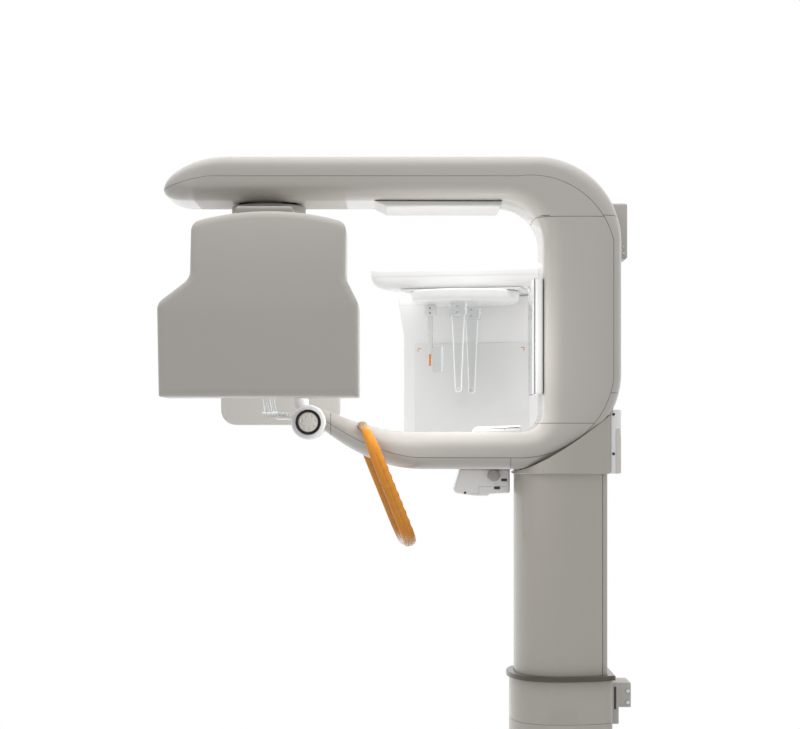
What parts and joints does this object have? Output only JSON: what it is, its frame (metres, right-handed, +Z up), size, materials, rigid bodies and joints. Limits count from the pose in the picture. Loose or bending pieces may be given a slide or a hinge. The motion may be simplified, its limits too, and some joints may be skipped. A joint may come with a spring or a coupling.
{
  "type": "panoramic x-ray machine",
  "caption": "Floor and wall mounted panoramic x-ray machine: telescoping column, C-shaped frame, turning tube and sensor heads, chin support, hand loop and cephalometric side arm.",
  "frame": {"origin": "on the floor under the middle of the column", "axes": "+Z up; +X towards the wall behind the column, so the upper arm reaches out along -X; +Y towards the cephalometric head"},
  "size_m": [1.1778, 1.8735, 2.081],
  "materials": {
    "column_paint": "satin warm white paint",
    "column_shell": "satin warm white paint on an aluminium extrusion",
    "warm_white": "satin moulded cover",
    "cool_white": "glossy moulded cover",
    "grey_cover": "satin moulded cover",
    "bronze_trim": "dark bronze trim",
    "steel": "turned and ground steel",
    "structure": "machined and painted aluminium",
    "foot_steel": "powder coat",
    "amber_grip": "glossy amber moulding",
    "black_rubber": "matt",
    "clear_plastic": "clear acrylic",
    "mirror": "silvered",
    "sensor": "dark sealed panel"
  },
  "bodies": {
    "column": {"floor_plate": "foot_steel", "lower_column": "column_shell", "column_collar": "bronze_trim", "column_glide_liner": "black_rubber", "lift_actuator": "structure", "wall_bracket": "column_paint"},
    "carriage": {"inner_column": "column_shell", "actuator_rod": "steel", "neck_skirt": "warm_white", "rear_cover": "cool_white", "frame_inner_cover": "warm_white", "frame_band_cover": "cool_white", "arm_chassis": "structure", "frame_post": "structure", "arm_belly_cover": "cool_white", "corner_pad": "cool_white", "mirror_frame": "cool_white", "mirror_glass": "mirror", "stage_rail_near": "steel", "stage_rail_far": "steel", "knob_housing": "cool_white", "chin_post": "cool_white", "chin_rest": "cool_white", "patient_handle": "amber_grip", "console_body": "cool_white", "ceph_arm_root": "column_paint", "ceph_arm_cover": "cool_white", "ceph_carrier_plate": "structure", "ceph_detector": "cool_white", "ceph_detector_window": "clear_plastic"},
    "stage": {"rotor_stage": "structure", "rotor_bearing": "steel", "rotor_motor": "structure"},
    "pinion": {"motor_pinion": "steel"},
    "rotor": {"rotor_shaft": "steel", "rotor_gear": "steel", "rotor_hub_cover": "warm_white", "rotor_beam": "structure", "tube_head_hanger": "structure", "tube_head_front_cover": "warm_white", "tube_head_rear_cover": "warm_white", "x_ray_tube_unit": "structure", "beam_limiter": "steel", "sensor_front_cover": "grey_cover", "sensor_rear_cover": "warm_white", "sensor_hanger": "structure", "sensor_panel": "sensor"},
    "knob": {"knob_face": "cool_white", "knob_ring": "black_rubber"},
    "temple_near": {"temple_near_support": "clear_plastic"},
    "temple_far": {"temple_far_support": "clear_plastic"},
    "stop_button": {"emergency_stop": "black_rubber"},
    "key_up": {"height_key_up": "black_rubber"},
    "key_down": {"height_key_down": "black_rubber"},
    "head_holder": {"ceph_dish": "cool_white"},
    "ear_near": {"ear_near_arm": "clear_plastic"},
    "ear_far": {"ear_far_arm": "clear_plastic"},
    "nasion": {"nasion_arm": "cool_white", "nasion_pad": "clear_plastic"}
  },
  "joints": [
    {"name": "lift", "type": "slide", "parent": "column", "child": "carriage", "axis": [0, 0, 1], "range_m": [-0.43, 0.15]},
    {"name": "stage_travel", "type": "slide", "parent": "carriage", "child": "stage", "axis": [1, 0, 0], "range_m": [-0.02, 0.02]},
    {"name": "rotor_turn", "type": "hinge", "parent": "stage", "child": "rotor", "pos_m": [-0.7235, 0, 1.95], "axis": [0, 0, 1], "range_deg": [-45, 225]},
    {"name": "pinion_spin", "type": "hinge", "parent": "stage", "child": "pinion", "pos_m": [-0.604, 0, 2.036], "axis": [0, 0, 1], "range_deg": [-562.5, 112.5]},
    {"name": "knob_turn", "type": "hinge", "parent": "carriage", "child": "knob", "pos_m": [-0.6225, -0.0553, 1.43], "axis": [0, -1, 0], "range_deg": [-60, 60]},
    {"name": "temple_near_slide", "type": "slide", "parent": "carriage", "child": "temple_near", "axis": [0, -1, 0], "range_m": [-0.0202, 0.0202]},
    {"name": "temple_far_slide", "type": "slide", "parent": "carriage", "child": "temple_far", "axis": [0, 1, 0], "range_m": [-0.0202, 0.0202]},
    {"name": "stop_press", "type": "slide", "parent": "carriage", "child": "stop_button", "axis": [0, 1, 0], "range_m": [0, 0.005], "stiffness_N_per_m": 1500, "springref_m": -0.002},
    {"name": "key_up_press", "type": "slide", "parent": "carriage", "child": "key_up", "axis": [0, 1, 0], "range_m": [0, 0.002], "stiffness_N_per_m": 400, "springref_m": -0.002},
    {"name": "key_down_press", "type": "slide", "parent": "carriage", "child": "key_down", "axis": [0, 1, 0], "range_m": [0, 0.002], "stiffness_N_per_m": 400, "springref_m": -0.002},
    {"name": "head_holder_turn", "type": "hinge", "parent": "carriage", "child": "head_holder", "pos_m": [-0.1935, 1.2, 1.806], "axis": [0, 0, 1], "range_deg": [-90, 90]},
    {"name": "ear_near_slide", "type": "slide", "parent": "head_holder", "child": "ear_near", "axis": [-0.2588, -0.9659, 0], "range_m": [-0.03, 0.035]},
    {"name": "ear_far_slide", "type": "slide", "parent": "head_holder", "child": "ear_far", "axis": [0.2588, 0.9659, 0], "range_m": [-0.03, 0.035]},
    {"name": "nasion_slide", "type": "slide", "parent": "head_holder", "child": "nasion", "axis": [-0.9659, 0.2588, 0], "range_m": [-0.03, 0.03]}
  ],
  "couplings": [
    {"joint": "pinion_spin", "follows": "rotor_turn", "ratio": -2.5},
    {"joint": "temple_near_slide", "follows": "knob_turn", "m_per_rad": 0.0192},
    {"joint": "temple_far_slide", "follows": "knob_turn", "m_per_rad": 0.0192},
    {"joint": "ear_far_slide", "follows": "ear_near_slide", "ratio": 1}
  ]
}
